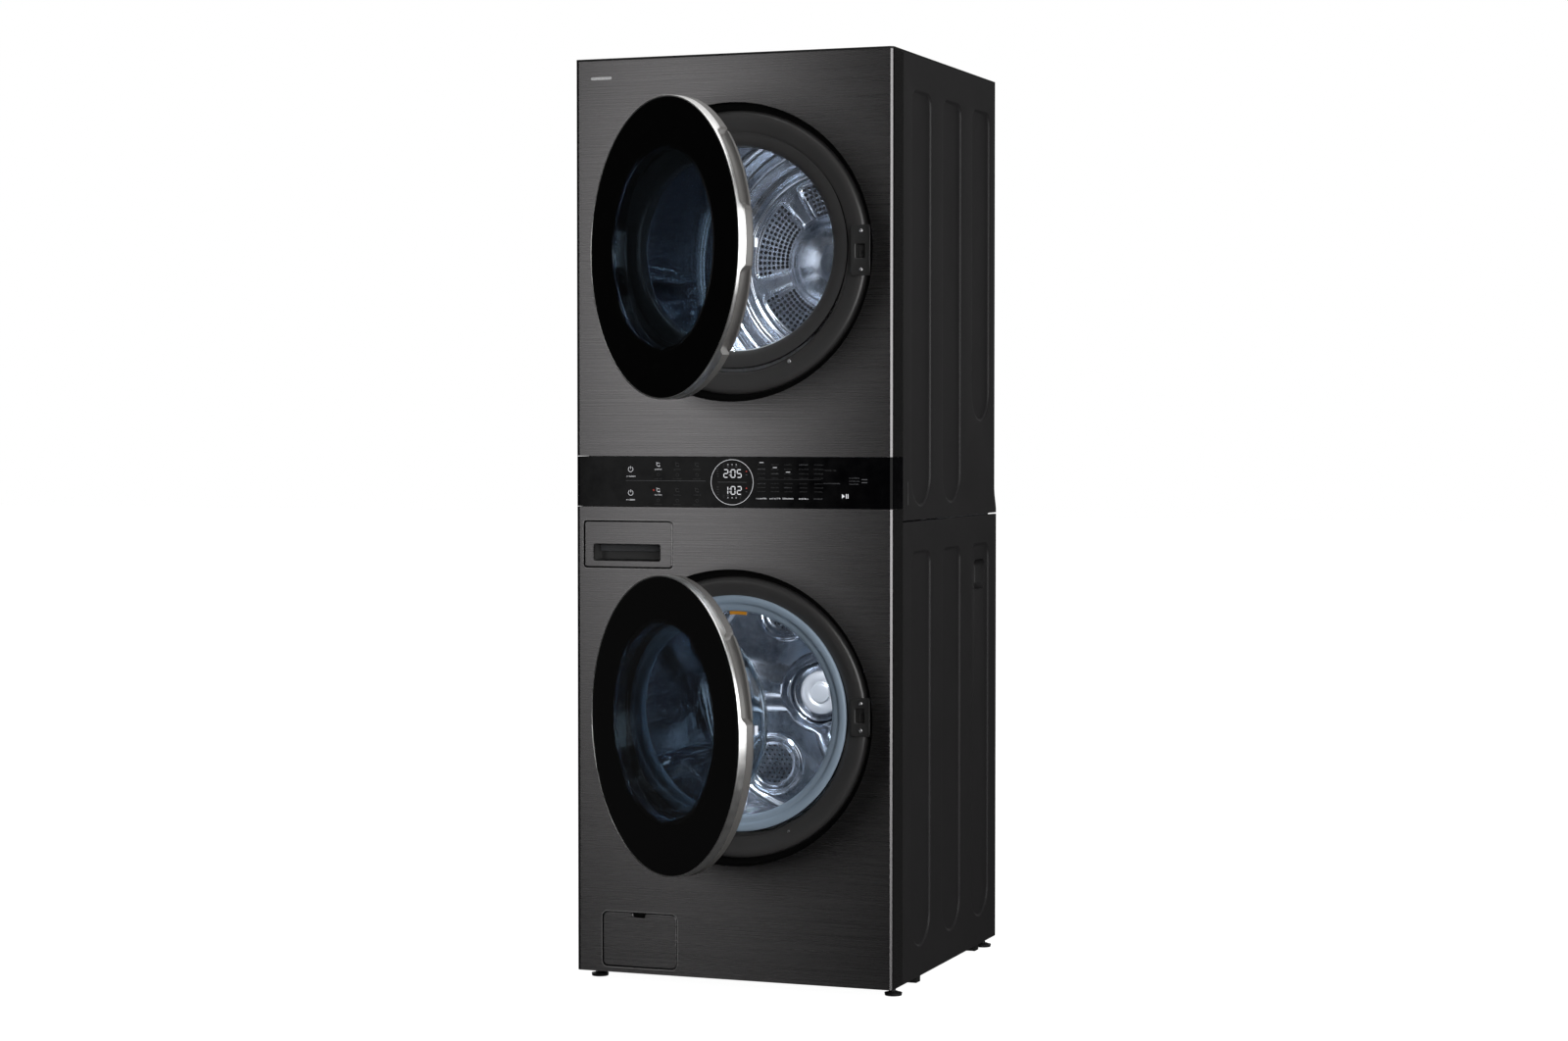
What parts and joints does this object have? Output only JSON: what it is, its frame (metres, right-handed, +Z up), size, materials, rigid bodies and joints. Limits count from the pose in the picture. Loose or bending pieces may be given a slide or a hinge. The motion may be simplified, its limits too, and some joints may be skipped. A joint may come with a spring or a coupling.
{
  "type": "washer dryer stack",
  "caption": "Laundry tower: a front-loading washer below and a dryer above in one cabinet, with round hinged glass doors, a touch control strip, a detergent drawer and a pump filter door.",
  "frame": {"origin": "floor level, under the centre of the cabinet's footprint; the closed cabinet's front plane is 0.357 m in front", "axes": "+Z up, the doors face -Y, +X to the right seen from the front"},
  "size_m": [0.686, 1.1161, 1.893],
  "materials": {
    "front_metal": "fine horizontal brushing, dark tint",
    "side_paint": "satin",
    "black_metal": "satin",
    "strip_glass": "glossy, glass-like",
    "badge_metal": "satin",
    "ring_plastic": "fine matte",
    "latch_plastic": "matte",
    "door_glass": "polished, dark tint",
    "bowl_glass": "polished",
    "band_chrome": "satin chrome",
    "door_plastic": "satin",
    "stainless": "bright",
    "bare_steel": "zinc plated",
    "gasket_rubber": "soft sheen",
    "tub_plastic": "moulded",
    "white_plastic": "moulded",
    "casting": "rough casting, painted grey",
    "copper": "lacquered windings",
    "board": "circuit board",
    "belt_rubber": "matte",
    "foot_rubber": "matte",
    "galvanised": "galvanised sheet"
  },
  "bodies": {
    "cabinet": {"base_pan": "black_metal", "leveling_feet": "foot_rubber", "washer_side_panels": "side_paint", "rear_panels": "side_paint", "washer_front_panel": "front_metal", "washer_surround": "ring_plastic", "washer_gasket": "gasket_rubber", "middle_deck": "galvanised", "suspension_springs": "bare_steel", "damper_cylinders": "latch_plastic", "drain_pump": "latch_plastic", "rear_fittings": "white_plastic", "dispenser_housing": "tub_plastic", "control_glass": "strip_glass", "control_board": "board", "dryer_side_panels": "side_paint", "top_cover": "black_metal", "dryer_front_panel": "front_metal", "dryer_surround": "ring_plastic", "door_latches": "latch_plastic", "hinge_brackets": "bare_steel", "dryer_bulkheads": "galvanised", "drum_belt": "belt_rubber", "dryer_motor": "black_metal", "blower_housing": "latch_plastic", "air_ducts": "galvanised", "name_badge": "badge_metal", "panel_screws": "bare_steel"},
    "tub": {"tub_front": "tub_plastic", "tub_rear": "tub_plastic", "counterweights": "casting", "motor_stator": "copper", "drum_bearings": "bare_steel", "damper_rods": "bare_steel"},
    "washer_drum": {"washer_drum_shell": "stainless", "washer_drum_back": "stainless", "washer_lifters": "stainless", "washer_drive": "bare_steel"},
    "washer_door": {"washer_door_glass": "door_glass", "washer_door_band": "band_chrome", "washer_door_frame": "door_plastic", "washer_door_bowl": "bowl_glass", "washer_door_hardware": "bare_steel"},
    "dryer_door": {"dryer_door_glass": "door_glass", "dryer_door_band": "band_chrome", "dryer_door_frame": "door_plastic", "dryer_door_window": "bowl_glass", "dryer_door_hardware": "bare_steel"},
    "drawer": {"drawer_front": "front_metal", "drawer_tray": "tub_plastic"},
    "filter_door": {"filter_door": "front_metal"},
    "pump_filter": {"pump_filter": "white_plastic"},
    "lint_filter": {"lint_filter": "white_plastic"},
    "dryer_drum": {"dryer_drum_shell": "stainless", "dryer_drum_back": "stainless", "dryer_baffles": "stainless"},
    "dryer_rotor": {"dryer_rotor": "white_plastic"},
    "idler_pulley": {"idler_pulley": "bare_steel"},
    "drum_roller_left": {"drum_roller_left": "belt_rubber"},
    "drum_roller_right": {"drum_roller_right": "belt_rubber"}
  },
  "joints": [
    {"name": "washer_door_hinge", "type": "hinge", "parent": "cabinet", "child": "washer_door", "pos_m": [-0.289, -0.371, 0.554], "axis": [0, 0, -1], "range_deg": [-38, 67]},
    {"name": "dryer_door_hinge", "type": "hinge", "parent": "cabinet", "child": "dryer_door", "pos_m": [-0.289, -0.371, 1.494], "axis": [0, 0, -1], "range_deg": [-38, 67]},
    {"name": "drawer_slide", "type": "slide", "parent": "cabinet", "child": "drawer", "axis": [0, -1, 0], "range_m": [0, 0.24]},
    {"name": "filter_door_hinge", "type": "hinge", "parent": "cabinet", "child": "filter_door", "pos_m": [-0.203, -0.353, 0.0505], "axis": [1, 0, 0], "range_deg": [0, 100]},
    {"name": "pump_filter_turn", "type": "hinge", "parent": "cabinet", "child": "pump_filter", "pos_m": [-0.203, -0.307, 0.092], "axis": [0, -1, 0], "range_deg": [0, 270]},
    {"name": "lint_filter_lift", "type": "slide", "parent": "cabinet", "child": "lint_filter", "axis": [0, 0, 1], "range_m": [0, 0.13]},
    {"name": "tub_bounce", "type": "slide", "parent": "cabinet", "child": "tub", "axis": [0, 0, 1], "range_m": [-0.01, 0.01], "stiffness_N_per_m": 20000, "deforming": ["washer_gasket", "suspension_springs"]},
    {"name": "washer_drum_spin", "type": "hinge", "parent": "tub", "child": "washer_drum", "pos_m": [0, -0.057, 0.562], "axis": [0, -1, 0], "continuous": true},
    {"name": "dryer_drum_spin", "type": "hinge", "parent": "cabinet", "child": "dryer_drum", "pos_m": [0, -0.057, 1.502], "axis": [0, -1, 0], "continuous": true},
    {"name": "dryer_rotor_spin", "type": "hinge", "parent": "cabinet", "child": "dryer_rotor", "pos_m": [0.12, -0.057, 1.06], "axis": [0, -1, 0], "continuous": true},
    {"name": "idler_spin", "type": "hinge", "parent": "cabinet", "child": "idler_pulley", "pos_m": [0.0386, 0.027, 1.12138], "axis": [0, -1, 0], "continuous": true},
    {"name": "roller_left_spin", "type": "hinge", "parent": "cabinet", "child": "drum_roller_left", "pos_m": [-0.19874, -0.257, 1.21816], "axis": [0, -1, 0], "continuous": true},
    {"name": "roller_right_spin", "type": "hinge", "parent": "cabinet", "child": "drum_roller_right", "pos_m": [0.19874, -0.257, 1.21816], "axis": [0, -1, 0], "continuous": true}
  ],
  "couplings": [
    {"joint": "dryer_rotor_spin", "follows": "dryer_drum_spin", "ratio": 30.635},
    {"joint": "idler_spin", "follows": "dryer_drum_spin", "ratio": 17.315},
    {"joint": "roller_left_spin", "follows": "dryer_drum_spin", "ratio": -11.364},
    {"joint": "roller_right_spin", "follows": "dryer_drum_spin", "ratio": -11.364}
  ]
}
